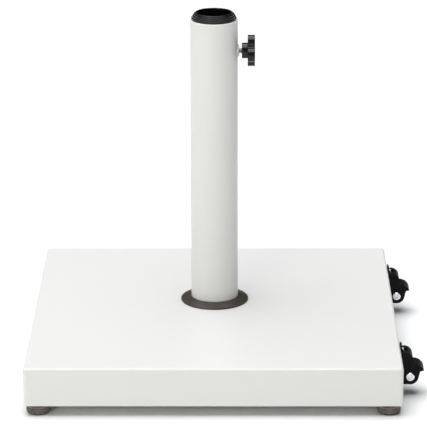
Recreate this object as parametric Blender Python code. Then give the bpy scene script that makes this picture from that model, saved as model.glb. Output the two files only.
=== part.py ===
"""A wheeled parasol base: a concrete slab in a white folded-steel cover, with a socket tube for the pole.

Metres, +Z up. The origin is on the floor, at the middle of the whole outline seen from above. -Y is the
front and the two small wheels stick out on the +X side, so the square cover is centred half their reach
towards -X.
"""

import math

import bmesh
import bpy
from mathutils import Vector

MM = 0.001
GAP = 0.3 * MM  # between neighbouring pieces that would touch

# Cover: a square folded tray, open below inside its hem
COVER_SIDE = 500 * MM
COVER_HEIGHT = 53 * MM
SHEET = 1.5 * MM
HEM_WIDTH = 30 * MM
COVER_CORNER = 4 * MM
COVER_EDGE = 2 * MM
FLOOR_GAP = 14 * MM  # from the floor to the cover's lower face

# Socket tube for the pole
TUBE_RADIUS = 32.5 * MM
TUBE_WALL = 2 * MM
TUBE_RISE = 404 * MM  # above the cover
TUBE_SETBACK = 24.5 * MM  # towards +Y from the cover's middle
FLANGE_SIDE = 120 * MM
FLANGE_THICKNESS = 5 * MM
BOLT_SPACING = 84 * MM
SEAT_HEIGHT = 12 * MM

# Collar and rosette, both loose on the tube
COLLAR_MOUTH_RADIUS = 23 * MM
COLLAR_SKIRT = 25 * MM
ROSETTE_RADIUS = 47 * MM
ROSETTE_RIM = 3 * MM  # thickness at the rim, and at the lip against the tube
ROSETTE_LIP = 6.8 * MM

# Clamp screw with its star knob, in a tapered boss
CLAMP_DROP = 44 * MM  # below the tube's rim
SCREW_RADIUS = 4 * MM
BOSS_RADIUS = 10 * MM
BOSS_FACE_RADIUS = 7.6 * MM
BOSS_SHANK_RADIUS = 6.3 * MM
BOSS_STANDOFF = 2 * MM  # from the tube to the boss's face
KNOB_RADIUS = 22.8 * MM
KNOB_THICKNESS = 10 * MM
KNOB_LOBES = 4
KNOB_PHASE = math.radians(78)  # from -Y towards +Z, to the middle of one lobe
HUB_RADIUS = 10.8 * MM
HUB_LENGTH = 8 * MM
HUB_STANDOFF = 5.5 * MM  # from the tube to the hub

# Wheel units on the +X side, each measured from the side wall and down from the cover's top face
UNIT_SPACING = 322 * MM
UNIT_WIDTH = 28 * MM
UNIT_REACH = 32 * MM
CHEEK = 3.2 * MM
FLANGE_PLATE = 3 * MM
FLANGE_PLATE_TOP = 0.6 * MM
FLANGE_PLATE_BOTTOM = 50.5 * MM
SHOULDER_OUT = 6.2 * MM
SHOULDER_DOWN = 16.4 * MM
SHOULDER_RADIUS = 11 * MM
FENDER_OUT = 18.5 * MM
FENDER_DOWN = 37.6 * MM
FENDER_RADIUS = 15 * MM
AXLE_OUT = 13.5 * MM
AXLE_DOWN = 39.5 * MM
AXLE_BOSS_RADIUS = 11.4 * MM
AXLE_RADIUS = 2.4 * MM
AXLE_HEAD = (5.8 * MM, 3 * MM)  # radius and height of its domed head
WHEEL_RADIUS = 12.8 * MM
WHEEL_HUB_RADIUS = 9.7 * MM
UNIT_SCREW_DOWN = (6.4 * MM, 18.5 * MM)
UNIT_SCREW_HEAD = (3.4 * MM, 2 * MM)

# Adjustable feet
FOOT_INSET = 18 * MM
FOOT_RADIUS = 16 * MM
SOLE_INSET = 2.5 * MM
SOLE_THICKNESS = 1.2 * MM
DISC_HEIGHT = 10.3 * MM
NUT_RADIUS = 7.5 * MM
NUT_HEIGHT = 6.5 * MM
STUD_TOP = 45 * MM

# Places worked out from the sizes above
COVER_TOP = FLOOR_GAP + COVER_HEIGHT
COVER_X = -UNIT_REACH / 2
SIDE_X = COVER_X + COVER_SIDE / 2
HEM_TOP = FLOOR_GAP + SHEET
SLAB_BOTTOM = HEM_TOP + GAP
SLAB_TOP = COVER_TOP - SHEET - GAP
SLAB_SIDE = COVER_SIDE - 2 * (SHEET + GAP)
BOLT_HEAD = 5.3 * MM
FLANGE_BOTTOM = HEM_TOP + 2 * GAP + BOLT_HEAD
FLANGE_TOP = FLANGE_BOTTOM + FLANGE_THICKNESS
TUBE_TOP = COVER_TOP + TUBE_RISE
CLAMP_Z = TUBE_TOP - CLAMP_DROP
SEAT_BOTTOM = FLANGE_TOP + GAP
AXLE_X = SIDE_X + AXLE_OUT
AXLE_Z = COVER_TOP - AXLE_DOWN
UNITS = {"front": -UNIT_SPACING / 2, "rear": UNIT_SPACING / 2}
FOOT_REACH = COVER_SIDE / 2 - FOOT_INSET
FEET = {
    "front_left": (COVER_X - FOOT_REACH, -FOOT_REACH),
    "front_right": (COVER_X + FOOT_REACH, -FOOT_REACH),
    "rear_left": (COVER_X - FOOT_REACH, FOOT_REACH),
    "rear_right": (COVER_X + FOOT_REACH, FOOT_REACH),
}
PLATE_SCREW_REACH = 195 * MM
STUD_HOLE = SCREW_RADIUS + 0.6 * MM
UNIT_SCREW_HOLE = 2.4 * MM

# Colour, metallic and roughness of each finish
WHITE_COAT = ((0.86, 0.86, 0.85), 0.0, 0.45)
GALVANISED = ((0.55, 0.56, 0.57), 1.0, 0.5)
BARE_STEEL = ((0.62, 0.62, 0.62), 1.0, 0.35)
CHROME = ((0.8, 0.8, 0.8), 1.0, 0.12)
CONCRETE = ((0.45, 0.44, 0.42), 0.0, 0.9)
BLACK_PLASTIC = ((0.02, 0.02, 0.02), 0.0, 0.4)
DARK_PLASTIC = ((0.09, 0.085, 0.08), 0.0, 0.55)
RUBBER = ((0.03, 0.03, 0.03), 0.0, 0.85)
NYLON = ((0.8, 0.79, 0.75), 0.0, 0.5)


def finish(name, look):
    colour, metallic, roughness = look
    material = bpy.data.materials.new(name)
    material.use_nodes = True
    shader = material.node_tree.nodes["Principled BSDF"]
    shader.inputs["Base Color"].default_value = (*colour, 1.0)
    shader.inputs["Metallic"].default_value = metallic
    shader.inputs["Roughness"].default_value = roughness
    return material


def add_object(name, mesh_data, place, look=None, smooth=False):
    """Turns a bmesh into a named object at a place. Without a look it is a cutter or a helper shape."""
    bmesh.ops.recalc_face_normals(mesh_data, faces=mesh_data.faces)
    mesh = bpy.data.meshes.new(name)
    mesh_data.to_mesh(mesh)
    mesh_data.free()
    if smooth:
        mesh.shade_smooth()
        mesh.set_sharp_from_angle(angle=math.radians(35))
    piece = bpy.data.objects.new(name, mesh)
    piece.location = place
    bpy.context.scene.collection.objects.link(piece)
    if look:
        mesh.materials.append(finish(name, look))
    else:
        piece.hide_render = True
        piece.display_type = "WIRE"
    return piece


def shape_with(piece, tool, operation):
    boolean = piece.modifiers.new(tool.name, "BOOLEAN")
    boolean.operation = operation
    boolean.object = tool


def turned(name, profile, place, axis="Z", steps=32, look=None):
    """(radius, height) points spun about an axis, closed as a ring unless both ends are on it."""
    along = {"X": Vector((1, 0, 0)), "Y": Vector((0, 1, 0)), "Z": Vector((0, 0, 1))}[axis]
    outward = Vector((1, 0, 0)) if axis == "Z" else Vector((0, 0, 1))
    mesh_data = bmesh.new()
    points = [mesh_data.verts.new(outward * radius + along * height) for radius, height in profile]
    edges = [mesh_data.edges.new(pair) for pair in zip(points, points[1:])]
    if profile[0][0] > 0:
        edges.append(mesh_data.edges.new((points[-1], points[0])))
    bmesh.ops.spin(
        mesh_data,
        geom=points + edges,
        cent=(0, 0, 0),
        axis=along,
        angle=2 * math.pi,
        steps=steps,
        use_merge=True,
    )
    bmesh.ops.remove_doubles(mesh_data, verts=mesh_data.verts, dist=1e-6)
    return add_object(name, mesh_data, place, look, smooth=True)


def block(name, size, place, look=None, corner=0.0, edge=0.0):
    """A box centred on its place, its upright edges rounded by corner and its top edges by edge."""
    mesh_data = bmesh.new()
    bmesh.ops.create_cube(mesh_data, size=1.0)
    bmesh.ops.scale(mesh_data, vec=size, verts=mesh_data.verts)
    if corner:
        upright = [e for e in mesh_data.edges if abs(e.verts[0].co.z - e.verts[1].co.z) > size[2] / 2]
        bmesh.ops.bevel(mesh_data, geom=upright, offset=corner, segments=4, profile=0.5, affect="EDGES")
    if edge:
        top = size[2] / 2 - 1e-6
        rim = [e for e in mesh_data.edges if min(v.co.z for v in e.verts) > top]
        bmesh.ops.bevel(mesh_data, geom=rim, offset=edge, segments=3, profile=0.5, affect="EDGES")
    return add_object(name, mesh_data, place, look)


def extruded(name, outline, depth, place, axis, look=None):
    """An outline extruded both ways along an axis: (y, z) points for X, (x, z) points for Y."""
    mesh_data = bmesh.new()
    if axis == "X":
        points = [mesh_data.verts.new((-depth / 2, a, b)) for a, b in outline]
    else:
        points = [mesh_data.verts.new((a, -depth / 2, b)) for a, b in outline]
    face = mesh_data.faces.new(points)
    raised = bmesh.ops.extrude_face_region(mesh_data, geom=[face])["geom"]
    shift = Vector((depth, 0, 0)) if axis == "X" else Vector((0, depth, 0))
    bmesh.ops.translate(mesh_data, vec=shift, verts=[v for v in raised if isinstance(v, bmesh.types.BMVert)])
    return add_object(name, mesh_data, place, look)


def drill(piece, label, radius, start, end, places, axis="Z", steps=12):
    """Cuts one round hole through the piece at each place, from start to end along the axis."""
    for number, (a, b) in enumerate(places, 1):
        profile = [(0, start), (radius, start), (radius, end), (0, end)]
        place = {"X": (0, a, b), "Y": (a, 0, b), "Z": (a, b, 0)}[axis]
        cutter = turned(f"cutter_{piece.name}_{label}_{number}", profile, place, axis, steps)
        shape_with(piece, cutter, "DIFFERENCE")


def arc(centre, radius, start, end, count):
    """Points on a circle from one angle to another, in degrees, both ends included."""
    angles = [math.radians(start + (end - start) * k / (count - 1)) for k in range(count)]
    return [(centre[0] + radius * math.cos(a), centre[1] + radius * math.sin(a)) for a in angles]


def screw(name, place, axis, head, shank, look, direction=1, head_steps=14):
    """A screw with its head's seat at its place: the shank runs in the direction, the head the other way."""
    head_radius, head_height = head
    shank_radius, length = shank
    cap = [
        (0, -direction * head_height),
        (head_radius * 0.85, -direction * head_height),
        (head_radius, -direction * head_height * 0.6),
        (head_radius, 0),
        (0, 0),
    ]
    rod = [(0, -direction * head_height / 2), (shank_radius, -direction * head_height / 2)]
    rod += [(shank_radius, direction * length), (0, direction * length)]
    piece = turned(name, cap, place, axis, head_steps, look)
    shape_with(piece, turned(f"helper_{name}_shank", rod, place, axis, 12), "UNION")
    return piece


def body_axis(name, place, parent=None):
    """An empty on a joint's axis, which carries the pieces of one moving body."""
    empty = bpy.data.objects.new(name, None)
    empty.empty_display_size = 0.02
    empty.location = place
    bpy.context.scene.collection.objects.link(empty)
    return carry(empty, parent) if parent else empty


def carry(piece, parent):
    """Parents a piece without moving it, for parents that are only shifted and never turned."""
    piece.parent = parent
    shift = Vector((0, 0, 0))
    while parent:
        shift += parent.location
        parent = parent.parent
    piece.location = Vector(piece.location) - shift
    return piece


def square_places(reach, centre_x=COVER_X, centre_y=0.0):
    return [(centre_x + sx * reach, centre_y + sy * reach) for sx in (-1, 1) for sy in (-1, 1)]


def unit_screw_places():
    return [(y, COVER_TOP - down) for y in UNITS.values() for down in UNIT_SCREW_DOWN]


# ---------------------------------------------------------------- base


def top_cover():
    centre = (COVER_X, 0, FLOOR_GAP + COVER_HEIGHT / 2)
    size = (COVER_SIDE, COVER_SIDE, COVER_HEIGHT)
    cover = block("top_cover", size, centre, WHITE_COAT, COVER_CORNER, COVER_EDGE)
    room = COVER_SIDE - 2 * SHEET
    hollow = block(
        "cutter_cover_hollow", (room, room, COVER_HEIGHT - 2 * SHEET), centre, corner=COVER_CORNER - SHEET
    )
    shape_with(cover, hollow, "DIFFERENCE")
    mouth = COVER_SIDE - 2 * HEM_WIDTH
    opening = block("cutter_cover_mouth", (mouth, mouth, 4 * SHEET), (COVER_X, 0, FLOOR_GAP))
    shape_with(cover, opening, "DIFFERENCE")
    tube_hole = TUBE_RADIUS + 1.5 * MM
    drill(cover, "tube", tube_hole, SLAB_TOP, COVER_TOP + SHEET, [(COVER_X, TUBE_SETBACK)], steps=32)
    drill(cover, "stud", STUD_HOLE, FLOOR_GAP - SHEET, HEM_TOP + SHEET, FEET.values())
    wall = (SIDE_X - 2 * SHEET, SIDE_X + SHEET)
    drill(cover, "wheel_screw", UNIT_SCREW_HOLE, *wall, unit_screw_places(), axis="X")
    return cover


def ballast_slab():
    centre = (COVER_X, 0, (SLAB_BOTTOM + SLAB_TOP) / 2)
    size = (SLAB_SIDE, SLAB_SIDE, SLAB_TOP - SLAB_BOTTOM)
    slab = block("ballast_slab", size, centre, CONCRETE, corner=COVER_CORNER - SHEET)
    below = SLAB_BOTTOM - SHEET
    recess_side = FLANGE_SIDE + 4 * MM
    recess_top = FLANGE_TOP + GAP
    recess = block(
        "cutter_slab_flange",
        (recess_side, recess_side, recess_top - below),
        (COVER_X, TUBE_SETBACK, (recess_top + below) / 2),
    )
    shape_with(slab, recess, "DIFFERENCE")
    tube_place = [(COVER_X, TUBE_SETBACK)]
    drill(slab, "tube", TUBE_RADIUS + 1 * MM, recess_top - SHEET, COVER_TOP, tube_place, steps=32)
    bolts = square_places(BOLT_SPACING / 2, centre_y=TUBE_SETBACK)
    drill(slab, "bolt", SCREW_RADIUS + GAP, recess_top - SHEET, recess_top + 20 * MM, bolts)
    drill(slab, "nut", NUT_RADIUS + 1 * MM, below, SLAB_BOTTOM + 8 * MM, FEET.values())
    drill(slab, "stud", STUD_HOLE, SLAB_BOTTOM, STUD_TOP + 6 * MM, FEET.values())
    plate_screws = square_places(PLATE_SCREW_REACH)
    drill(slab, "plate_screw", 2.5 * MM + GAP, below, SLAB_BOTTOM + 18 * MM, plate_screws)
    drill(slab, "wheel_screw", UNIT_SCREW_HOLE, SIDE_X - 24 * MM, SIDE_X, unit_screw_places(), axis="X")
    return slab


def base_plate():
    side = COVER_SIDE - 2 * HEM_WIDTH - 4 * GAP
    centre = (COVER_X, 0, FLOOR_GAP + SHEET / 2)
    plate = block("base_plate", (side, side, SHEET), centre, GALVANISED)
    drill(plate, "screw", 2.9 * MM, FLOOR_GAP - SHEET, HEM_TOP + SHEET, square_places(PLATE_SCREW_REACH))
    drain = [(COVER_X, TUBE_SETBACK)]
    drill(plate, "drain", 6 * MM, FLOOR_GAP - SHEET, HEM_TOP + SHEET, drain, steps=24)
    return plate


def base_plate_screws():
    for number, (x, y) in enumerate(square_places(PLATE_SCREW_REACH), 1):
        place = (x, y, FLOOR_GAP - GAP)
        screw(f"plate_screw_{number}", place, "Z", (4.6 * MM, 2.5 * MM), (2.5 * MM, 17 * MM), GALVANISED)


# ---------------------------------------------------------------- socket


def socket_tube():
    inner = TUBE_RADIUS - TUBE_WALL
    bottom = FLANGE_TOP + GAP
    profile = [(TUBE_RADIUS, bottom), (TUBE_RADIUS, TUBE_TOP), (inner, TUBE_TOP), (inner, bottom)]
    tube = turned("socket_tube", profile, (COVER_X, TUBE_SETBACK, 0), steps=48, look=WHITE_COAT)
    boss_hole = [(TUBE_SETBACK, CLAMP_Z)]
    boss_bore = BOSS_SHANK_RADIUS + 0.5 * MM
    drill(tube, "boss", boss_bore, COVER_X, COVER_X + 2 * TUBE_RADIUS, boss_hole, axis="X", steps=24)
    return tube


def socket_flange():
    centre = (COVER_X, TUBE_SETBACK, (FLANGE_BOTTOM + FLANGE_TOP) / 2)
    flange = block("socket_flange", (FLANGE_SIDE, FLANGE_SIDE, FLANGE_THICKNESS), centre, GALVANISED)
    bolts = square_places(BOLT_SPACING / 2, centre_y=TUBE_SETBACK)
    drill(flange, "bolt", SCREW_RADIUS + GAP, FLANGE_BOTTOM - SHEET, FLANGE_TOP + SHEET, bolts)
    drain = [(COVER_X, TUBE_SETBACK)]
    drill(flange, "drain", 12 * MM, FLANGE_BOTTOM - SHEET, FLANGE_TOP + SHEET, drain, steps=24)
    return flange


def flange_bolts():
    places = square_places(BOLT_SPACING / 2, centre_y=TUBE_SETBACK)
    for number, (x, y) in enumerate(places, 1):
        place = (x, y, FLANGE_BOTTOM - GAP)
        head = (7.2 * MM, BOLT_HEAD - GAP)
        shank = (SCREW_RADIUS, 24 * MM)
        screw(f"flange_bolt_{number}", place, "Z", head, shank, BARE_STEEL, head_steps=6)


def pole_seat():
    radius = TUBE_RADIUS - TUBE_WALL - GAP
    top = SEAT_BOTTOM + SEAT_HEIGHT
    profile = [(0, SEAT_BOTTOM), (radius, SEAT_BOTTOM), (radius, top - 1 * MM)]
    profile += [(radius - 1 * MM, top), (0, top)]
    seat = turned("pole_seat", profile, (COVER_X, TUBE_SETBACK, 0), steps=32, look=BLACK_PLASTIC)
    drains = [
        (COVER_X + 20 * MM * math.cos(quarter), TUBE_SETBACK + 20 * MM * math.sin(quarter))
        for quarter in (math.radians(90 * k + 45) for k in range(4))
    ]
    drill(seat, "drain", 3 * MM, SEAT_BOTTOM - SHEET, top + SHEET, drains)
    return seat


def clamp_boss():
    """A threaded insert: a tapered head on the tube's outside and a shank through its wall."""
    head_inner = 24 * MM
    shank_end = TUBE_RADIUS - TUBE_WALL - 1.5 * MM
    face = TUBE_RADIUS + BOSS_STANDOFF
    profile = [(0, head_inner), (BOSS_RADIUS, head_inner), (BOSS_RADIUS, TUBE_RADIUS - 0.5 * MM)]
    profile += [(BOSS_FACE_RADIUS, face), (0, face)]
    place = (COVER_X, TUBE_SETBACK, CLAMP_Z)
    boss = turned("clamp_boss", profile, place, "X", 32, WHITE_COAT)
    clearance = TUBE_RADIUS + GAP
    wall = [(0, -15 * MM), (clearance, -15 * MM), (clearance, 15 * MM), (0, 15 * MM)]
    shape_with(boss, turned("cutter_boss_wall", wall, place, "Z", 64), "DIFFERENCE")
    shank = [(0, shank_end), (BOSS_SHANK_RADIUS, shank_end), (BOSS_SHANK_RADIUS, face - 0.5 * MM)]
    shank += [(0, face - 0.5 * MM)]
    shape_with(boss, turned("helper_boss_shank", shank, place, "X", 24), "UNION")
    bore = [(TUBE_SETBACK, CLAMP_Z)]
    drill(boss, "bore", SCREW_RADIUS + GAP, COVER_X + head_inner, COVER_X + face + SHEET, bore, axis="X")
    return boss


def pole_collar(parent):
    """A plastic insert that narrows the tube to the pole: stepped rings above the rim, a skirt inside it."""
    steps = [(31 * MM, 3.4 * MM), (29.4 * MM, 5.8 * MM), (27.8 * MM, 8 * MM), (26.2 * MM, 10 * MM)]
    skirt_outer = TUBE_RADIUS - TUBE_WALL - GAP
    skirt_inner = skirt_outer - 2.4 * MM
    profile = [(skirt_outer, -COLLAR_SKIRT), (skirt_outer, GAP), (steps[0][0], GAP)]
    for (radius, height), (next_radius, _) in zip(steps, steps[1:]):
        profile += [(radius, height - 0.5 * MM), (radius - 0.5 * MM, height), (next_radius, height)]
    profile += [(steps[-1][0], steps[-1][1] - 0.6 * MM), (steps[-1][0] - 0.6 * MM, steps[-1][1])]
    mouth_top = steps[-1][1]
    profile += [(COLLAR_MOUTH_RADIUS + 0.6 * MM, mouth_top), (COLLAR_MOUTH_RADIUS, mouth_top - 0.6 * MM)]
    profile += [(COLLAR_MOUTH_RADIUS, -2 * MM), (skirt_inner, -4 * MM), (skirt_inner, -COLLAR_SKIRT)]
    collar = turned("pole_collar", profile, (COVER_X, TUBE_SETBACK, TUBE_TOP), steps=32, look=BLACK_PLASTIC)
    return carry(collar, parent)


def rosette(parent):
    """A shallow cone that hides the cover's hole, thickest at its lip against the tube."""
    low = COVER_TOP + GAP
    inner = TUBE_RADIUS + 0.6 * MM
    profile = [(inner, low), (ROSETTE_RADIUS, low), (ROSETTE_RADIUS, low + ROSETTE_RIM - 1.2 * MM)]
    profile += [(ROSETTE_RADIUS - 1.6 * MM, low + ROSETTE_RIM)]
    profile += [(inner + 1.5 * MM, low + ROSETTE_LIP), (inner, low + ROSETTE_LIP)]
    ring = turned("rosette", profile, (COVER_X, TUBE_SETBACK, 0), steps=48, look=DARK_PLASTIC)
    return carry(ring, parent)


# ---------------------------------------------------------------- clamp


def clamp_tip(parent):
    """A nylon tip that stays still on the pole while the screw turns behind it."""
    face = COLLAR_MOUTH_RADIUS + 1.3 * MM
    shoulder = face + 3.4 * MM
    profile = [(0, face), (3.1 * MM, face), (3.1 * MM, shoulder), (1.5 * MM, shoulder)]
    profile += [(1.5 * MM, shoulder + 3.2 * MM), (0, shoulder + 3.2 * MM)]
    return carry(turned("clamp_tip", profile, (COVER_X, TUBE_SETBACK, CLAMP_Z), "X", 16, NYLON), parent)


def clamp_screw(parent):
    inner_end = COLLAR_MOUTH_RADIUS + 5 * MM
    outer_end = TUBE_RADIUS + HUB_STANDOFF + 11 * MM
    profile = [(0, inner_end + 3.6 * MM), (1.8 * MM, inner_end + 3.6 * MM), (1.8 * MM, inner_end)]
    profile += [(SCREW_RADIUS, inner_end), (SCREW_RADIUS, outer_end), (0, outer_end)]
    place = (COVER_X, TUBE_SETBACK, CLAMP_Z)
    return carry(turned("clamp_screw", profile, place, "X", 20, BARE_STEEL), parent)


def knob_outline():
    """Broad round lobes on a circle, meeting in sharp valleys, one of them with its middle at KNOB_PHASE."""
    lobe_radius = 0.44 * KNOB_RADIUS
    spread = KNOB_RADIUS - lobe_radius
    half_turn = math.pi / KNOB_LOBES
    valley = spread * math.cos(half_turn) + math.sqrt(lobe_radius**2 - (spread * math.sin(half_turn)) ** 2)
    reach = math.atan2(valley * math.sin(half_turn), valley * math.cos(half_turn) - spread)
    points = []
    for lobe in range(KNOB_LOBES):
        middle = KNOB_PHASE + 2 * half_turn * lobe
        centre = (spread * math.cos(middle), spread * math.sin(middle))
        start = math.degrees(middle - reach)
        points += arc(centre, lobe_radius, start, math.degrees(middle + reach), 10)[:-1]
    return [(-a, b) for a, b in points]


def star_knob(parent):
    hub_start = TUBE_RADIUS + HUB_STANDOFF
    star_start = hub_start + HUB_LENGTH
    axis_point = (COVER_X, TUBE_SETBACK, CLAMP_Z)
    middle = (COVER_X + star_start + KNOB_THICKNESS / 2, TUBE_SETBACK, CLAMP_Z)
    knob = extruded("star_knob", knob_outline(), KNOB_THICKNESS, middle, "X", BLACK_PLASTIC)
    hub_end = star_start + 1 * MM
    hub = [(0, hub_start), (HUB_RADIUS, hub_start), (HUB_RADIUS, hub_end), (0, hub_end)]
    shape_with(knob, turned("helper_knob_hub", hub, axis_point, "X", 32), "UNION")
    bore_end = COVER_X + hub_start + 11 * MM + GAP
    bore = [(TUBE_SETBACK, CLAMP_Z)]
    drill(knob, "bore", SCREW_RADIUS + GAP, COVER_X + hub_start - 1 * MM, bore_end, bore, axis="X")
    return carry(knob, parent)


# ---------------------------------------------------------------- wheels


def unit_outline():
    """A wheel unit from the side: x outwards from the wall, z from the floor."""
    shoulder = (SHOULDER_OUT, COVER_TOP - SHOULDER_DOWN)
    fender = (FENDER_OUT, COVER_TOP - FENDER_DOWN)
    shoulder_start = math.degrees(math.acos((FLANGE_PLATE - SHOULDER_OUT) / SHOULDER_RADIUS))
    fender_end = math.degrees(math.acos((UNIT_REACH - FENDER_OUT) / FENDER_RADIUS))
    flange_top, flange_bottom = COVER_TOP - FLANGE_PLATE_TOP, COVER_TOP - FLANGE_PLATE_BOTTOM
    outline = [(GAP, flange_bottom), (GAP, flange_top), (FLANGE_PLATE - 1 * MM, flange_top)]
    outline += [(FLANGE_PLATE, flange_top - 1 * MM)]
    outline += arc(shoulder, SHOULDER_RADIUS, shoulder_start, -15, 14)
    outline += arc(fender, FENDER_RADIUS, 96, fender_end, 12)
    outline += [(UNIT_REACH - 5 * MM, outline[-1][1] - 1.5 * MM)]
    outline += arc((AXLE_OUT, AXLE_Z), AXLE_BOSS_RADIUS, 0, -95, 9)
    outline += [(FLANGE_PLATE, flange_bottom)]
    return outline


def wheel_housing(end, y):
    """A solid shoulder with screw recesses, over a fork that is open below and behind for the wheel."""
    housing = extruded(f"wheel_housing_{end}", unit_outline(), UNIT_WIDTH, (SIDE_X, y, 0), "Y", BLACK_PLASTIC)
    inside = UNIT_WIDTH / 2 - CHEEK
    pocket_radius = WHEEL_RADIUS + 0.8 * MM
    pocket = [(0, -inside), (pocket_radius, -inside), (pocket_radius, inside), (0, inside)]
    axle_place = (AXLE_X, y, AXLE_Z)
    shape_with(housing, turned(f"cutter_pocket_{end}", pocket, axle_place, "Y", 40), "DIFFERENCE")
    open_top = AXLE_Z + 5.5 * MM
    fork_size = (UNIT_REACH + 10 * MM, 2 * inside, 22 * MM)
    fork_place = (SIDE_X + UNIT_REACH / 2, y, open_top - fork_size[2] / 2)
    shape_with(housing, block(f"cutter_fork_{end}", fork_size, fork_place), "DIFFERENCE")
    upper, lower = (COVER_TOP - down for down in UNIT_SCREW_DOWN)
    well_size = (7 * MM, 9 * MM, 14 * MM)
    well_place = (SIDE_X + FLANGE_PLATE + well_size[0] / 2, y, upper + 2 * MM)
    shape_with(housing, block(f"cutter_screw_well_{end}", well_size, well_place), "DIFFERENCE")
    outer = SIDE_X + UNIT_REACH
    access_radius = UNIT_SCREW_HEAD[0] + 0.5 * MM
    drill(housing, "access", access_radius, SIDE_X + FLANGE_PLATE, outer, [(y, lower)], axis="X", steps=20)
    drill(housing, "axle", AXLE_RADIUS + GAP, y - UNIT_WIDTH, y + UNIT_WIDTH, [(AXLE_X, AXLE_Z)], axis="Y")
    screws = [(y, upper), (y, lower)]
    drill(housing, "screw", UNIT_SCREW_HOLE, SIDE_X - SHEET, SIDE_X + FLANGE_PLATE + SHEET, screws, axis="X")
    return housing


def wheel_axle(end, y):
    """A rivet-shaped axle: a plain pin with a domed head on its front end."""
    reach = UNIT_WIDTH / 2 + GAP
    head_radius, head_height = AXLE_HEAD
    dome = [
        (head_radius * math.sin(math.radians(angle)), -reach - head_height * math.cos(math.radians(angle)))
        for angle in (0, 30, 60, 90)
    ]
    profile = dome + [(AXLE_RADIUS, -reach), (AXLE_RADIUS, reach + 4 * MM), (0, reach + 4 * MM)]
    return turned(f"wheel_axle_{end}", profile, (AXLE_X, y, AXLE_Z), "Y", 20, CHROME)


def axle_clip(end, y):
    """A push-on cap that holds the axle's plain end."""
    start = UNIT_WIDTH / 2 + GAP
    bore, rim, height = AXLE_RADIUS + GAP, 5 * MM, 5.2 * MM
    profile = [(0, start + 4.6 * MM), (bore, start + 4.6 * MM), (bore, start), (rim, start)]
    profile += [(rim, start + height - 1.5 * MM), (rim - 1.5 * MM, start + height), (0, start + height)]
    return turned(f"axle_clip_{end}", profile, (AXLE_X, y, AXLE_Z), "Y", 16, CHROME)


def wheel(end, y):
    """A ribbed hub with a tyre, which turn together on the axle."""
    half = UNIT_WIDTH / 2 - CHEEK - 0.6 * MM
    bore, boss, rim = AXLE_RADIUS + GAP, 4.5 * MM, WHEEL_HUB_RADIUS - 1.3 * MM
    dish = half - 2 * MM
    axis = body_axis(f"axis_wheel_{end}", (AXLE_X, y, AXLE_Z))
    side = [(bore, half), (boss, half), (boss + 0.5 * MM, dish), (rim - 0.4 * MM, dish), (rim, half)]
    side += [(WHEEL_HUB_RADIUS, half)]
    hub = side + [(radius, -height) for radius, height in reversed(side)]
    carry(turned(f"wheel_hub_{end}", hub, (AXLE_X, y, AXLE_Z), "Y", 20, DARK_PLASTIC), axis)
    inner, shoulder = WHEEL_HUB_RADIUS + GAP, 2.5 * MM
    tyre = [(inner, -half), (inner, half)]
    tyre += arc((WHEEL_RADIUS - shoulder, half - shoulder), shoulder, 90, 0, 4)
    tyre += arc((WHEEL_RADIUS - shoulder, -half + shoulder), shoulder, 0, -90, 4)
    carry(turned(f"wheel_tyre_{end}", tyre, (AXLE_X, y, AXLE_Z), "Y", 24, RUBBER), axis)


def unit_screws(end, y):
    outer = SIDE_X + FLANGE_PLATE + GAP
    for label, down in zip(("upper", "lower"), UNIT_SCREW_DOWN):
        place = (outer, y, COVER_TOP - down)
        shank = (UNIT_SCREW_HOLE - 0.4 * MM, 24 * MM)
        screw(f"housing_screw_{end}_{label}", place, "X", UNIT_SCREW_HEAD, shank, BARE_STEEL, direction=-1)


# ---------------------------------------------------------------- feet


def foot(corner, x, y):
    """A foot that screws up and down: its sole stays still on the floor while the disc and its stud turn."""
    axis = body_axis(f"axis_foot_{corner}", (x, y, 0))
    sole_radius = FOOT_RADIUS - SOLE_INSET
    sole = [(0, 0), (sole_radius - 0.5 * MM, 0), (sole_radius, 0.5 * MM), (sole_radius, SOLE_THICKNESS)]
    sole += [(0, SOLE_THICKNESS)]
    carry(turned(f"foot_sole_{corner}", sole, (x, y, 0), "Z", 24, RUBBER), axis)
    low = SOLE_THICKNESS + GAP
    high = low + DISC_HEIGHT
    bore = SCREW_RADIUS + GAP
    disc = [(0, low), (FOOT_RADIUS - 1 * MM, low), (FOOT_RADIUS, low + 1 * MM), (FOOT_RADIUS, high - 1 * MM)]
    disc += [(FOOT_RADIUS - 1 * MM, high), (bore, high), (bore, low + 2 * MM), (0, low + 2 * MM)]
    carry(turned(f"foot_disc_{corner}", disc, (x, y, 0), "Z", 24, DARK_PLASTIC), axis)
    stud_low = low + 2 * MM + GAP
    stud = [(0, stud_low), (SCREW_RADIUS, stud_low), (SCREW_RADIUS, STUD_TOP - 1 * MM)]
    stud += [(SCREW_RADIUS - 1 * MM, STUD_TOP), (0, STUD_TOP)]
    carry(turned(f"foot_stud_{corner}", stud, (x, y, 0), "Z", 20, BARE_STEEL), axis)
    nut_low, nut_high = HEM_TOP + GAP, HEM_TOP + GAP + NUT_HEIGHT
    nut = [(0, nut_low), (NUT_RADIUS, nut_low), (NUT_RADIUS, nut_high), (0, nut_high)]
    blank = turned(f"foot_nut_{corner}", nut, (x, y, 0), "Z", 6, GALVANISED)
    drill(blank, "thread", bore, nut_low - 1 * MM, nut_high + 1 * MM, [(x, y)])


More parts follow.
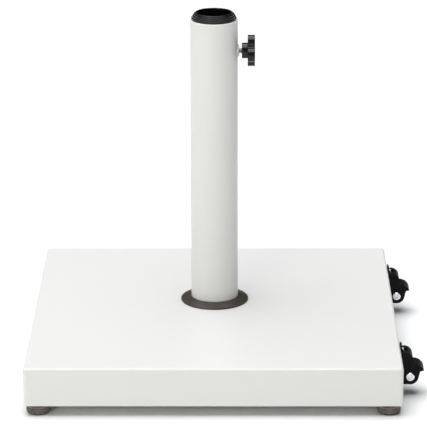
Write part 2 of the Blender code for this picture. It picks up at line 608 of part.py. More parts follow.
def build():
    for leftover in list(bpy.data.objects):
        bpy.data.objects.remove(leftover, do_unlink=True)
    top_cover()
    ballast_slab()
    base_plate()
    base_plate_screws()
    socket_tube()
    socket_flange()
    flange_bolts()
    pole_seat()
    clamp_boss()
    pole_collar(body_axis("axis_collar", (COVER_X, TUBE_SETBACK, TUBE_TOP)))
    rosette(body_axis("axis_rosette", (COVER_X, TUBE_SETBACK, COVER_TOP)))
    clamp_axis = body_axis("axis_clamp", (COVER_X, TUBE_SETBACK, CLAMP_Z))
    clamp_tip(clamp_axis)
    clamp_screw(clamp_axis)
    star_knob(clamp_axis)
    for end, y in UNITS.items():
        wheel_housing(end, y)
        wheel_axle(end, y)
        axle_clip(end, y)
        wheel(end, y)
        unit_screws(end, y)
    for corner, (x, y) in FEET.items():
        foot(corner, x, y)


build()
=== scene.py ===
"""The looks of a wheeled parasol base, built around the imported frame.

Metres, +Z up, -Y is the front. Every piece is made at its place in the frame and rides on a body of it.
"""

import math

import bmesh
import bpy
from mathutils import Matrix, Vector


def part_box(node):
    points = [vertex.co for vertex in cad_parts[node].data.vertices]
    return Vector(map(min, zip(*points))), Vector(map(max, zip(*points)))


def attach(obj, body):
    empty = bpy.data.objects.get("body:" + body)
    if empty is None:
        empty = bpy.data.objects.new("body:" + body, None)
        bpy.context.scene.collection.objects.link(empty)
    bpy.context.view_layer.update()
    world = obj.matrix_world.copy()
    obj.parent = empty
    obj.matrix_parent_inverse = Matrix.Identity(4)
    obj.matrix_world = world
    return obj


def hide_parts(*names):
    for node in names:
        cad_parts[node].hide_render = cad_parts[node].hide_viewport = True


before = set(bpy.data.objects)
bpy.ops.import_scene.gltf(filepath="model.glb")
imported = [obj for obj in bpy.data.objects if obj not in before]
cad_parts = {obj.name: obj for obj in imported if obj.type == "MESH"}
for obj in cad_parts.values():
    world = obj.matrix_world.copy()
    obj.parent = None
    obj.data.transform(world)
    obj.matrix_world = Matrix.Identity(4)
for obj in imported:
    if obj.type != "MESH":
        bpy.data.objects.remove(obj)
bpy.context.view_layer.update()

MM = 0.001
ENDS = ("front", "rear")
CORNERS = ("front_left", "front_right", "rear_left", "rear_right")

# Sizes that the boxes of the frame don't give
SHEET = 1.5 * MM  # the folded cover's steel
HEM = 30 * MM  # width of the cover's lower hem
COVER_CORNER = 4 * MM
TOP_BEND = 3.2 * MM
HEM_BEND = 1.6 * MM
TUBE_WALL = 2 * MM
COLLAR_MOUTH = 23 * MM
COLLAR_STEPS = ((0, 0.36), (1.5 * MM, 0.62), (3.2 * MM, 0.85), (5.2 * MM, 1.0))  # inset, share of the height
ROSETTE_RIM = 3 * MM
BOSS_FACE = 7.6 * MM
BOSS_SHANK = 6.3 * MM  # where the clamp boss goes through the tube's wall
PITCH = 1.25 * MM  # of the clamp screw and of the feet, 8 mm across
THREAD_ROOM = 4.3 * MM  # a clear hole round such a thread
STAR_RADIUS = 22.8 * MM
STAR_THICKNESS = 10 * MM
STAR_HUB = 10.8 * MM
LOBES = 4
LOBE_PHASE = math.radians(78)  # from -Y towards +Z, to the middle of one lobe

# A wheel unit's side view: each centre is out from the cover's wall and down from its top face
FLANGE_PLATE = 3 * MM
FLANGE_TOP = 0.6 * MM
FLANGE_BOTTOM = 50.5 * MM
SHOULDER = (6.2 * MM, 16.4 * MM)
SHOULDER_RADIUS = 11 * MM
FENDER = (18.5 * MM, 37.6 * MM)
FENDER_RADIUS = 15 * MM
AXLE_BOSS = 11.4 * MM
AXLE_PIN = 2.4 * MM
CHEEK = 3.2 * MM  # wall on each side of the wheel

# Studio floor
FLOOR_RADIUS = 5.0
GLOW_START, GLOW_END = 1.2, 4.0  # its glow grows between these distances from the object


def middle(node):
    """The middle of a CAD node's box."""
    lo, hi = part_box(node)
    return (lo + hi) / 2


def extent(node):
    """The size of a CAD node's box."""
    lo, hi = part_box(node)
    return hi - lo


# ---------------------------------------------------------------- shapes


def filleted(points, closed=False, steps=6):
    """A path of (a, b, fillet radius) corners with each corner rounded. Ends of an open path stay sharp."""
    path = []
    count = len(points)
    for k, (a, b, radius) in enumerate(points):
        here = Vector((a, b))
        if radius <= 0 or (not closed and k in (0, count - 1)):
            path.append((a, b))
            continue
        to_last = (Vector(points[k - 1][:2]) - here).normalized()
        to_next = (Vector(points[(k + 1) % count][:2]) - here).normalized()
        corner = to_last.angle(to_next)
        back = radius / math.tan(corner / 2)
        centre = here + (to_last + to_next).normalized() * (radius / math.sin(corner / 2))
        start = here + to_last * back - centre
        turn = start.angle_signed(here + to_next * back - centre)
        for step in range(steps + 1):
            path.append(tuple(centre + Matrix.Rotation(-turn * step / steps, 2) @ start))
    return path


def arc(centre, radius, start, end, steps):
    """Points on a circle from one angle to another, in degrees, both ends included."""
    angles = [math.radians(start + (end - start) * k / steps) for k in range(steps + 1)]
    return [(centre[0] + radius * math.cos(a), centre[1] + radius * math.sin(a)) for a in angles]


def skin(rows, ring=False):
    """A bmesh through rows of points. A row of one point is a tip; ring joins the last row to the first."""
    mesh_data = bmesh.new()
    made = [[mesh_data.verts.new(point) for point in row] for row in rows]
    pairs = list(zip(made, made[1:]))
    if ring:
        pairs.append((made[-1], made[0]))
    for lower, upper in pairs:
        for k in range(max(len(lower), len(upper))):
            corners = [lower[k % len(lower)], lower[(k + 1) % len(lower)]]
            corners += [upper[(k + 1) % len(upper)], upper[k % len(upper)]]
            mesh_data.faces.new(list(dict.fromkeys(corners)))
    if not ring:
        for row in (made[0], made[-1]):
            if len(row) > 2:
                mesh_data.faces.new(row)
    return mesh_data


def on_axis(axis, radius, angle, height):
    """The point at a radius and angle round an axis, and a height along it."""
    a, b = radius * math.cos(angle), radius * math.sin(angle)
    return {"X": (height, a, b), "Y": (a, height, b), "Z": (a, b, height)}[axis]


def turned(profile, axis="Z", steps=64, ring=False, lobes=None):
    """A turned shape from (radius, height) points. lobes(radius, height, angle) may change the radius."""
    rows = []
    for radius, height in profile:
        if radius < 1e-7:
            rows.append([on_axis(axis, 0, 0, height)])
            continue
        angles = [2 * math.pi * k / steps for k in range(steps)]
        reach = [lobes(radius, height, angle) if lobes else radius for angle in angles]
        rows.append([on_axis(axis, r, angle, height) for r, angle in zip(reach, angles)])
    return skin(rows, ring)


def extruded(outline, depth, axis):
    """A closed outline extruded both ways along an axis: (y, z) points for X, (x, z) points for Y."""
    rows = []
    for side in (-depth / 2, depth / 2):
        rows.append([(side, a, b) if axis == "X" else (a, side, b) for a, b in outline])
    return skin(rows)


def threaded(start, end, pitch, radius, axis, steps=28, per_turn=10):
    """A rod with a real right-handed thread, its ends chamfered down to the thread's root."""
    depth = 0.6 * pitch
    rows = [[on_axis(axis, 0, 0, start)]]
    count = int((end - start) / pitch * per_turn)
    for k in range(count + 1):
        height = start + (end - start) * k / count
        chamfer = min(1.0, min(height - start, end - height) / pitch + 0.05)
        row = []
        for step in range(steps):
            angle = 2 * math.pi * step / steps
            phase = (height / pitch - angle / (2 * math.pi)) % 1.0
            crest = min(1.0, max(0.0, 2.6 * abs(phase - 0.5) - 0.15))
            row.append(on_axis(axis, radius - depth * (1 - crest * chamfer), angle, height))
        rows.append(row)
    rows.append([on_axis(axis, 0, 0, end)])
    return skin(rows)


def add_piece(name, mesh_data, place, look, body, nodes, bevel=0.0, sharp=35):
    """Makes the piece at its place, with smooth shading and its finish, ties it to its body and hides the CAD
    nodes it takes the place of.
    """
    bmesh.ops.recalc_face_normals(mesh_data, faces=mesh_data.faces)
    mesh = bpy.data.meshes.new(name)
    mesh_data.to_mesh(mesh)
    mesh_data.free()
    mesh.materials.append(look)
    mesh.shade_smooth()
    mesh.set_sharp_from_angle(angle=math.radians(sharp))
    piece = bpy.data.objects.new(name, mesh)
    piece.location = place
    bpy.context.scene.collection.objects.link(piece)
    if bevel:
        rounding = piece.modifiers.new("edge_rounding", "BEVEL")
        rounding.width = bevel
        rounding.segments = 3
        rounding.limit_method = "ANGLE"
        rounding.angle_limit = math.radians(sharp)
        rounding.harden_normals = True
    else:
        weighting = piece.modifiers.new("flat_faces_stay_flat", "WEIGHTED_NORMAL")
        weighting.keep_sharp = True
    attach(piece, body)
    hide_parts(*nodes)


def cut(mesh_data, tool_data):
    """The first shape less the second, as a new bmesh."""
    return combined(mesh_data, tool_data, "DIFFERENCE")


def joined(mesh_data, tool_data):
    """The two shapes as one, as a new bmesh."""
    return combined(mesh_data, tool_data, "UNION")


def combined(mesh_data, tool_data, operation):
    """The Boolean of two shapes, made with two scratch objects that are removed again."""
    objects = []
    for label, data in (("target", mesh_data), ("tool", tool_data)):
        bmesh.ops.recalc_face_normals(data, faces=data.faces)
        mesh = bpy.data.meshes.new(label)
        data.to_mesh(mesh)
        data.free()
        objects.append(bpy.data.objects.new(label, mesh))
        bpy.context.scene.collection.objects.link(objects[-1])
    target, tool = objects
    boolean = target.modifiers.new(operation, "BOOLEAN")
    boolean.operation = operation
    boolean.object = tool
    evaluated = target.evaluated_get(bpy.context.evaluated_depsgraph_get())
    result = bmesh.new()
    result.from_mesh(evaluated.to_mesh())
    for scratch in objects:
        mesh = scratch.data
        bpy.data.objects.remove(scratch)
        bpy.data.meshes.remove(mesh)
    return result


def moved(mesh_data, shift):
    """The shape itself, after a move."""
    bmesh.ops.translate(mesh_data, vec=shift, verts=mesh_data.verts)
    return mesh_data


def bored(mesh_data, radius, start, end, places, axis="Z", steps=48):
    """The shape with a round hole at each place, from start to end along an axis."""
    for place in places:
        hole = turned([(0, start), (radius, start), (radius, end), (0, end)], axis, steps)
        mesh_data = cut(mesh_data, moved(hole, place))
    return mesh_data


def box_shape(size):
    """A plain block with its middle at the origin, used to cut with."""
    mesh_data = bmesh.new()
    bmesh.ops.create_cube(mesh_data, size=1.0)
    bmesh.ops.scale(mesh_data, vec=size, verts=mesh_data.verts)
    return mesh_data


# ---------------------------------------------------------------- materials


class Finish:
    """A Principled material under construction, in object coordinates (metres)."""

    def __init__(self, name, roughness, metallic=0.0, specular=0.5):
        self.material = bpy.data.materials.new(name)
        self.material.use_nodes = True
        self.nodes = self.material.node_tree.nodes
        self.links = self.material.node_tree.links
        self.shader = self.nodes["Principled BSDF"]
        self.set("Roughness", roughness)
        self.set("Metallic", metallic)
        self.set("Specular IOR Level", specular)
        self.place = self.nodes.new("ShaderNodeTexCoord").outputs["Object"]

    def set(self, socket, value):
        """Sets one of the shader's own sockets."""
        self.shader.inputs[socket].default_value = value

    def stretched(self, scale):
        """Object coordinates, scaled along each axis."""
        mapping = self.nodes.new("ShaderNodeMapping")
        mapping.inputs["Scale"].default_value = scale
        self.links.new(self.place, mapping.inputs["Vector"])
        return mapping.outputs["Vector"]

    def noise(self, per_metre, detail=3.0, roughness=0.5, stretch=(1, 1, 1)):
        """Noise with this many features to a metre."""
        texture = self.nodes.new("ShaderNodeTexNoise")
        texture.inputs["Scale"].default_value = per_metre
        texture.inputs["Detail"].default_value = detail
        texture.inputs["Roughness"].default_value = roughness
        self.links.new(self.stretched(stretch), texture.inputs["Vector"])
        return texture.outputs["Fac"]

    def cells(self, per_metre, output="Distance"):
        """Voronoi cells, this many to a metre."""
        texture = self.nodes.new("ShaderNodeTexVoronoi")
        texture.inputs["Scale"].default_value = per_metre
        self.links.new(self.place, texture.inputs["Vector"])
        return texture.outputs[output]

    def ramp(self, factor, low, high, low_value, high_value):
        """Maps factor from low..high to low_value..high_value, held at both ends."""
        mapper = self.nodes.new("ShaderNodeMapRange")
        mapper.inputs["From Min"].default_value = low
        mapper.inputs["From Max"].default_value = high
        mapper.inputs["To Min"].default_value = low_value
        mapper.inputs["To Max"].default_value = high_value
        self.links.new(factor, mapper.inputs["Value"])
        return mapper.outputs["Result"]

    def blend(self, factor, first, second):
        """A mix of two colours, each given as numbers or as another blend."""
        mix = self.nodes.new("ShaderNodeMix")
        mix.data_type = "RGBA"
        for socket, colour in (("A", first), ("B", second)):
            place = [s for s in mix.inputs if s.name == socket and s.type == "RGBA"][0]
            if isinstance(colour, bpy.types.NodeSocket):
                self.links.new(colour, place)
            else:
                place.default_value = (*colour, 1.0)
        self.links.new(factor, mix.inputs["Factor"])
        return [s for s in mix.outputs if s.type == "RGBA"][0]

    def colour(self, output):
        """Drives the base colour."""
        self.links.new(output, self.shader.inputs["Base Color"])

    def roughness(self, output):
        """Drives the roughness."""
        self.links.new(output, self.shader.inputs["Roughness"])

    def bumps(self, *layers):
        """Each layer is (height output, depth in metres)."""
        last = None
        for height, depth in layers:
            bump = self.nodes.new("ShaderNodeBump")
            bump.inputs["Strength"].default_value = 1.0
            bump.inputs["Distance"].default_value = depth
            self.links.new(height, bump.inputs["Height"])
            if last:
                self.links.new(last, bump.inputs["Normal"])
            last = bump.outputs["Normal"]
        self.links.new(last, self.shader.inputs["Normal"])


def white_coat():
    """Semi-matt powder coat: fine orange peel, a very faint drift in tone, a little dust in the pores."""
    finish = Finish("white_powder_coat", 0.42, specular=0.45)
    drift = finish.noise(9, 2)
    tone = finish.blend(finish.ramp(drift, 0.35, 0.65, 0, 1), (0.733, 0.735, 0.724), (0.742, 0.741, 0.73))
    speck = finish.ramp(finish.noise(2600, 2), 0.68, 0.76, 0, 0.2)
    finish.colour(finish.blend(speck, tone, (0.67, 0.665, 0.65)))
    finish.roughness(finish.ramp(finish.noise(60, 3), 0.3, 0.7, 0.38, 0.48))
    finish.bumps((finish.noise(620, 2, 0.4), 0.00002), (finish.noise(2100, 2), 0.00001))
    return finish.material


def moulded(name, dark, light, roughness, specular=0.2, grain=3200, depth=0.00003):
    """Moulded plastic: a fine spark-eroded grain, faint flow marks and slightly uneven gloss."""
    finish = Finish(name, roughness, specular=specular)
    flow = finish.ramp(finish.noise(140, 3, 0.6, (1, 1, 0.35)), 0.3, 0.7, 0, 1)
    tone = finish.blend(flow, dark, light)
    finish.colour(tone)
    finish.roughness(finish.ramp(finish.noise(380, 3), 0.3, 0.7, roughness - 0.06, roughness + 0.08))
    finish.bumps((finish.noise(grain, 2), depth), (finish.noise(220, 2), 0.00004))
    return finish.material


def rubber():
    """Dull black rubber with pale dust in patches."""
    finish = Finish("tyre_rubber", 0.7, specular=0.35)
    dust = finish.ramp(finish.noise(420, 4, 0.6), 0.45, 0.75, 0, 1)
    finish.colour(finish.blend(dust, (0.014, 0.014, 0.015), (0.034, 0.033, 0.031)))
    finish.roughness(finish.ramp(finish.noise(700, 3), 0.3, 0.7, 0.58, 0.8))
    finish.bumps((finish.noise(2400, 3), 0.00005))
    return finish.material


def bright_steel():
    """Zinc-plated steel: fine turning lines and cloudy gloss."""
    finish = Finish("zinc_plated_steel", 0.3, metallic=1.0)
    cloud = finish.ramp(finish.noise(260, 4), 0.3, 0.7, 0, 1)
    finish.colour(finish.blend(cloud, (0.56, 0.57, 0.58), (0.72, 0.72, 0.7)))
    finish.roughness(finish.ramp(finish.noise(900, 3), 0.3, 0.7, 0.22, 0.42))
    finish.bumps((finish.noise(3000, 2, 0.5, (4, 0.3, 0.3)), 0.00001))
    return finish.material


def galvanised():
    """Hot-dip galvanised sheet: flat crystal spangles of different greys."""
    finish = Finish("galvanised_sheet", 0.45, metallic=1.0)
    spangle = finish.nodes.new("ShaderNodeSeparateColor")
    finish.links.new(finish.cells(90, "Color"), spangle.inputs["Color"])
    finish.colour(finish.blend(spangle.outputs["Red"], (0.42, 0.43, 0.45), (0.6, 0.61, 0.62)))
    finish.roughness(finish.ramp(spangle.outputs["Green"], 0, 1, 0.34, 0.56))
    finish.bumps((finish.noise(500, 3), 0.00002))
    return finish.material


def chrome():
    """Polished chrome with a faint haze of handling marks."""
    finish = Finish("polished_chrome", 0.07, metallic=1.0)
    haze = finish.ramp(finish.noise(700, 3), 0.4, 0.75, 0, 1)
    finish.colour(finish.blend(haze, (0.86, 0.86, 0.87), (0.78, 0.78, 0.79)))
    finish.roughness(finish.ramp(finish.noise(500, 3), 0.35, 0.75, 0.05, 0.14))
    return finish.material


def concrete():
    """Cast concrete: cloudy grey, darker grit and a rough open face."""
    finish = Finish("cast_concrete", 0.9, specular=0.3)
    cloud = finish.ramp(finish.noise(24, 5, 0.65), 0.3, 0.7, 0, 1)
    tone = finish.blend(cloud, (0.33, 0.325, 0.31), (0.47, 0.46, 0.44))
    grit = finish.ramp(finish.cells(420), 0.0, 0.35, 1, 0)
    finish.colour(finish.blend(grit, tone, (0.26, 0.25, 0.24)))
    finish.roughness(finish.ramp(finish.noise(300, 3), 0.3, 0.7, 0.8, 0.97))
    finish.bumps((finish.noise(180, 5, 0.7), 0.0006), (finish.cells(500), 0.0002))
    return finish.material


def nylon():
    """Natural nylon, slightly see-through."""
    finish = Finish("natural_nylon", 0.45, specular=0.5)
    finish.set("Subsurface Weight", 0.1)
    finish.set("Subsurface Radius", (0.002, 0.0018, 0.0014))
    cloud = finish.ramp(finish.noise(600, 3), 0.3, 0.7, 0, 1)
    finish.colour(finish.blend(cloud, (0.72, 0.7, 0.64), (0.8, 0.79, 0.73)))
    finish.bumps((finish.noise(2600, 2), 0.00002))
    return finish.material


WHITE = white_coat()
BLACK = moulded("black_moulded_plastic", (0.006, 0.006, 0.0065), (0.011, 0.011, 0.0115), 0.45, 0.08)
GLOSS_BLACK = moulded(
    "black_gloss_plastic", (0.002, 0.002, 0.002), (0.004, 0.004, 0.004), 0.16, 0.36, depth=0.00001
)
ROSETTE_GREY = moulded("umber_rosette_plastic", (0.032, 0.0265, 0.0205), (0.054, 0.045, 0.0355), 0.34, 0.45)
WHEEL_PLASTIC = moulded("wheel_hub_plastic", (0.012, 0.012, 0.012), (0.02, 0.02, 0.02), 0.42, 0.3)
FOOT_GREY = moulded("umber_foot_plastic", (0.115, 0.098, 0.084), (0.19, 0.168, 0.148), 0.5, 0.4, grain=1800)
RUBBER = rubber()
STEEL = bright_steel()
ZINC = galvanised()
CHROME = chrome()
CONCRETE = concrete()
NYLON = nylon()


# ---------------------------------------------------------------- base


def square_row(half, corner, z, per_corner=10):
    """A square row with rounded corners, with one extra point in the middle of each side."""
    row = []
    for quarter in range(4):
        turn = Matrix.Rotation(math.radians(90 * quarter), 2)
        row.append(turn @ Vector((half, 0)))
        for x, y in arc((half - corner, half - corner), corner, 0, 90, per_corner - 1):
            row.append(turn @ Vector((x, y)))
    return [(point.x, point.y, z) for point in row]


def round_row(radius, z, centre, per_corner=10):
    """A round row with as many points as square_row, in the same order and directions."""
    row = []
    for quarter in range(4):
        angles = [0.0] + [30 + 30 * k / (per_corner - 1) for k in range(per_corner)]
        for angle in angles:
            turn = math.radians(90 * quarter + angle)
            row.append((centre.x + radius * math.cos(turn), centre.y + radius * math.sin(turn), z))
    return row


def cover():
    """The folded cover: rolled top edge, bent hem with a hole for each stud, and a hole for the tube."""
    lo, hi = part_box("top_cover")
    half = (hi.x - lo.x) / 2
    centre = Vector(((lo.x + hi.x) / 2, (lo.y + hi.y) / 2, 0))
    hole = middle("socket_tube") - centre
    hole_radius = extent("socket_tube").x / 2 + 1.5 * MM

    def bend(at_top, inset, radius, steps=7):
        """Rows round an outer bend, from the side wall towards the flat face or back."""
        rows = []
        for k in range(steps + 1):
            angle = math.radians(90 * k / steps)
            shrink = inset + radius * (1 - math.cos(angle))
            rise = radius * math.sin(angle)
            z = hi.z - inset - radius + rise if at_top else lo.z + inset + radius - rise
            rows.append(square_row(half - shrink, max(COVER_CORNER - shrink, 0.8 * MM), z))
        return rows

    outside = [square_row(half - HEM, 1 * MM, lo.z)]
    outside += reversed(bend(False, 0, HEM_BEND))
    outside += bend(True, 0, TOP_BEND)
    outside.append(round_row(hole_radius, hi.z, hole))
    inside = [round_row(hole_radius, hi.z - SHEET, hole)]
    inside += reversed(bend(True, SHEET, 1 * MM, 3))
    inside += bend(False, SHEET, 0.6 * MM, 2)
    inside.append(square_row(half - HEM, 1 * MM, lo.z + SHEET))
    studs = [middle(f"foot_stud_{name}") - centre for name in CORNERS]
    stud_places = [(stud.x, stud.y, 0) for stud in studs]
    stud_radius = extent("foot_stud_front_left").x / 2 + 0.6 * MM
    shape = skin(outside + inside, ring=True)
    shape = bored(shape, stud_radius, lo.z - SHEET, lo.z + 2 * SHEET, stud_places)
    add_piece("cover_sheet", shape, centre, WHITE, "base", ["top_cover"], sharp=50)


def hidden_base_parts():
    """The CAD shapes of the inner parts stay; only their finish is made."""
    for node, look in (("ballast_slab", CONCRETE), ("base_plate", ZINC), ("socket_flange", ZINC)):
        give(node, look)
    for number in range(1, 5):
        give(f"flange_bolt_{number}", STEEL)
    for corner in CORNERS:
        give(f"foot_nut_{corner}", ZINC)


def give(node, look):
    """Puts a finish on a CAD node whose shape stays as it is."""
    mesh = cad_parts[node].data
    mesh.materials.clear()
    mesh.materials.append(look)


def cross_headed(radius, height):
    """A pan head with a cross recess, its seat at z = 0."""
    dome = [(0, height, 0), (radius * 0.62, height, radius), (radius, height * 0.45, 0.4 * radius)]
    head = turned(filleted(dome) + [(radius, 0), (0, 0)], steps=40)
    for angle in (20, 110):
        turn = Matrix.Rotation(math.radians(angle), 3, "Z")
        groove = box_shape((1.5 * radius, 0.34 * radius, 1.1 * height))
        bmesh.ops.rotate(groove, cent=(0, 0, 0), matrix=turn, verts=groove.verts)
        head = cut(head, moved(groove, (0, 0, height)))
    return head


def turned_to(mesh_data, axis, direction):
    """Turns a shape made along +Z to point along an axis (direction 1) or against it (-1)."""
    target = {"X": (direction, 0, 0), "Y": (0, direction, 0), "Z": (0, 0, direction)}[axis]
    turn = Vector((0, 0, 1)).rotation_difference(Vector(target)).to_matrix()
    bmesh.ops.rotate(mesh_data, cent=(0, 0, 0), matrix=turn, verts=mesh_data.verts)
    return mesh_data


def plate_screws():
    """The four screws that hold the base plate, their heads down."""
    for number in range(1, 5):
        node = f"plate_screw_{number}"
        lo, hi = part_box(node)
        radius, head = (hi.x - lo.x) / 2, 2.5 * MM
        shank = threaded(-17 * MM, 0.5 * MM, 0.8 * MM, radius=2.5 * MM, axis="Z", steps=16, per_turn=6)
        shape = turned_to(joined(cross_headed(radius, head), shank), "Z", -1)
        place = (middle(node).x, middle(node).y, lo.z + head)
        add_piece(f"plate_screw_look_{number}", shape, place, ZINC, "base", [node])


# ---------------------------------------------------------------- socket


def socket():
    """The tube, its upper rim rounded, with a hole that the clamp boss fills."""
    lo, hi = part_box("socket_tube")
    axis = middle("socket_tube")
    outer = (hi.x - lo.x) / 2
    inner = outer - TUBE_WALL
    profile = filleted(
        [(outer, lo.z, 0), (outer, hi.z, 1.4 * MM), (inner, hi.z, 0.3 * MM), (inner, lo.z, 0)],
        closed=True,
    )
    shape = turned(profile, steps=128, ring=True)
    shape = bored(shape, BOSS_SHANK + 0.5 * MM, 0, 2 * outer, [(0, 0, middle("clamp_boss").z)], "X")
    add_piece("tube", shape, (axis.x, axis.y, 0), WHITE, "base", ["socket_tube"])


def seat():
    """The plug that the pole stands on, with a wide shallow groove in its top."""
    lo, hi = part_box("pole_seat")
    radius = (hi.x - lo.x) / 2
    profile = [(0, lo.z, 0), (radius, lo.z, 0), (radius, hi.z, 1 * MM), (radius - 3 * MM, hi.z, 0)]
    profile += [(radius - 4 * MM, hi.z - 1.2 * MM, 0.4 * MM), (9 * MM, hi.z - 1.2 * MM, 0.4 * MM)]
    profile += [(8 * MM, hi.z, 0.4 * MM), (0, hi.z, 0)]
    shape = turned(filleted(profile))
    place = (middle("pole_seat").x, middle("pole_seat").y, 0)
    add_piece("seat_plug", shape, place, BLACK, "base", ["pole_seat"])


def boss():
    """A tapered head, hollowed to fit the tube, and a shank through its wall, bored for the clamp screw."""
    lo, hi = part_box("clamp_boss")
    axis = middle("socket_tube")
    place = Vector((axis.x, axis.y, middle("clamp_boss").z))
    tube_radius = extent("socket_tube").x / 2
    face = hi.x - axis.x
    head_radius = (hi.y - lo.y) / 2
    head = [(THREAD_ROOM, face, 0.5 * MM), (BOSS_FACE, face, 1.2 * MM)]
    head += [(head_radius, tube_radius - 1.2 * MM, 0.8 * MM), (head_radius, tube_radius - 8 * MM, 0)]
    head += [(THREAD_ROOM, tube_radius - 8 * MM, 0)]
    shape = turned(filleted(head, closed=True), "X", 72, ring=True)
    shape = bored(shape, tube_radius + 0.05 * MM, -2 * head_radius, 2 * head_radius, [(0, 0, 0)], steps=128)
    start, end = lo.x - axis.x, face - 1.5 * MM
    shank = [(THREAD_ROOM, start), (BOSS_SHANK, start), (BOSS_SHANK, end), (THREAD_ROOM, end)]
    shape = joined(shape, turned(shank, "X", 48, ring=True))
    add_piece("threaded_boss", shape, place, WHITE, "base", ["clamp_boss"])


def collar():
    """Stepped rings above the rim, a rolled lip round the mouth and a skirt down inside the tube."""
    lo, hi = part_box("pole_collar")
    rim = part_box("socket_tube")[1].z
    base_radius = (hi.x - lo.x) / 2
    skirt = extent("socket_tube").x / 2 - TUBE_WALL - 0.3 * MM
    skirt_inside = skirt - 2.4 * MM
    top, bottom = hi.z - rim, lo.z - rim
    profile = [(skirt, bottom, 0), (skirt, 0.3 * MM, 0), (base_radius, 0.3 * MM, 0.5 * MM)]
    for (inset, share), (next_inset, _) in zip(COLLAR_STEPS, COLLAR_STEPS[1:]):
        profile += [(base_radius - inset, share * top, 0.7 * MM)]
        profile += [(base_radius - next_inset, share * top - 0.7 * MM, 0.2 * MM)]
    profile += [(base_radius - COLLAR_STEPS[-1][0], top, 1.0 * MM), (COLLAR_MOUTH, top, 0.9 * MM)]
    profile += [(COLLAR_MOUTH, -2 * MM, 1 * MM), (skirt_inside, -4 * MM, 1 * MM), (skirt_inside, bottom, 0)]
    shape = turned(filleted(profile, closed=True), steps=128, ring=True)
    place = (middle("pole_collar").x, middle("pole_collar").y, rim)
    add_piece("collar", shape, place, GLOSS_BLACK, "collar", ["pole_collar"])


def rosette():
    """A shallow cone with a rounded rim and a soft lip against the tube."""
    lo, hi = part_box("rosette")
    outer = (hi.x - lo.x) / 2
    inner = extent("socket_tube").x / 2 + 0.6 * MM
    lip = hi.z - lo.z
    profile = [(inner, 0, 0), (outer, 0, 0.3 * MM), (outer, ROSETTE_RIM * 0.75, 0.9 * MM)]
    profile += [(outer - 2 * MM, ROSETTE_RIM, 1.5 * MM), (inner + 3 * MM, lip * 0.9, 2 * MM)]
    profile += [(inner + 1.2 * MM, lip, 0.6 * MM), (inner, lip, 0.4 * MM)]
    shape = turned(filleted(profile, closed=True), steps=144, ring=True)
    place = (middle("rosette").x, middle("rosette").y, lo.z)
    add_piece("rosette_ring", shape, place, ROSETTE_GREY, "rosette", ["rosette"])


# ---------------------------------------------------------------- clamp


def clamp_screw():
    """The threaded rod, with a socket in its inner end for the tip's peg."""
    lo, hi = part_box("clamp_screw")
    centre = middle("clamp_screw")
    radius = (hi.y - lo.y) / 2
    shape = threaded(0, hi.x - lo.x, PITCH, radius, "X", steps=32, per_turn=12)
    peg_room, peg_depth = 1.8 * MM, 3.6 * MM
    shape = bored(shape, peg_room, -1 * MM, peg_depth, [(0, 0, 0)], "X", 24)
    place = (lo.x, centre.y, centre.z)
    add_piece("screw_thread", shape, place, STEEL, "clamp", ["clamp_screw"])


def clamp_tip():
    """The round pad that presses on the pole, and the peg that holds it in the screw."""
    lo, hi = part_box("clamp_tip")
    centre = middle("clamp_tip")
    radius, length = (hi.y - lo.y) / 2, hi.x - lo.x
    shoulder, peg = 3.2 * MM, 1.5 * MM
    profile = [(0, 0, 0), (radius, 0, 0.8 * MM), (radius, shoulder, 0.3 * MM), (peg, shoulder, 0)]
    profile += [(peg, length, 0), (0, length, 0)]
    shape = turned(filleted(profile), "X", 32)
    add_piece("nylon_tip", shape, (lo.x, centre.y, centre.z), NYLON, "clamp_tip", ["clamp_tip"])


def knob_outline():
    """Broad round lobes joined by small round valleys, as (y, z) points."""
    lobe_radius, valley_radius = 0.44 * STAR_RADIUS, 0.12 * STAR_RADIUS
    spread = STAR_RADIUS - lobe_radius
    half = math.pi / LOBES
    reach = lobe_radius + valley_radius
    valley_out = spread * math.cos(half) + math.sqrt(reach**2 - (spread * math.sin(half)) ** 2)
    meet = math.degrees(math.atan2(valley_out * math.sin(half), valley_out * math.cos(half) - spread))
    points = []
    for lobe in range(LOBES):
        turn = 360 * lobe / LOBES
        next_turn = turn + 360 / LOBES
        centre = Matrix.Rotation(math.radians(turn), 2) @ Vector((spread, 0))
        points += arc(centre, lobe_radius, turn - meet, turn + meet, 18)
        valley = Matrix.Rotation(math.radians(turn) + half, 2) @ Vector((valley_out, 0))
        points += arc(valley, valley_radius, turn + meet + 180, next_turn - meet + 180, 6)[1:-1]
    placed = [Matrix.Rotation(LOBE_PHASE, 2) @ Vector(point) for point in points]
    return [(-point.x, point.y) for point in placed]


def knob():
    """A four-lobed star on a round hub, with a shallow round dish in its outer face."""
    lo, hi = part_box("star_knob")
    axis = middle("clamp_screw")
    length = hi.x - lo.x
    star = moved(extruded(knob_outline(), STAR_THICKNESS, "X"), (length - STAR_THICKNESS / 2, 0, 0))
    floor, above = length - 1.2 * MM, length + 1 * MM
    star = cut(star, turned([(0, floor), (8 * MM, floor), (9.6 * MM, above), (0, above)], "X", 72))
    hub_end = length - STAR_THICKNESS + 2 * MM
    hub = [(0, 0, 0), (STAR_HUB, 0, 0.8 * MM), (STAR_HUB, hub_end, 0), (0, hub_end, 0)]
    shape = joined(star, turned(filleted(hub), "X", 72))
    place = (lo.x, axis.y, axis.z)
    nodes = ["star_knob"]
    add_piece("knob", shape, place, GLOSS_BLACK, "clamp", nodes, bevel=1.1 * MM, sharp=40)


# ---------------------------------------------------------------- wheels


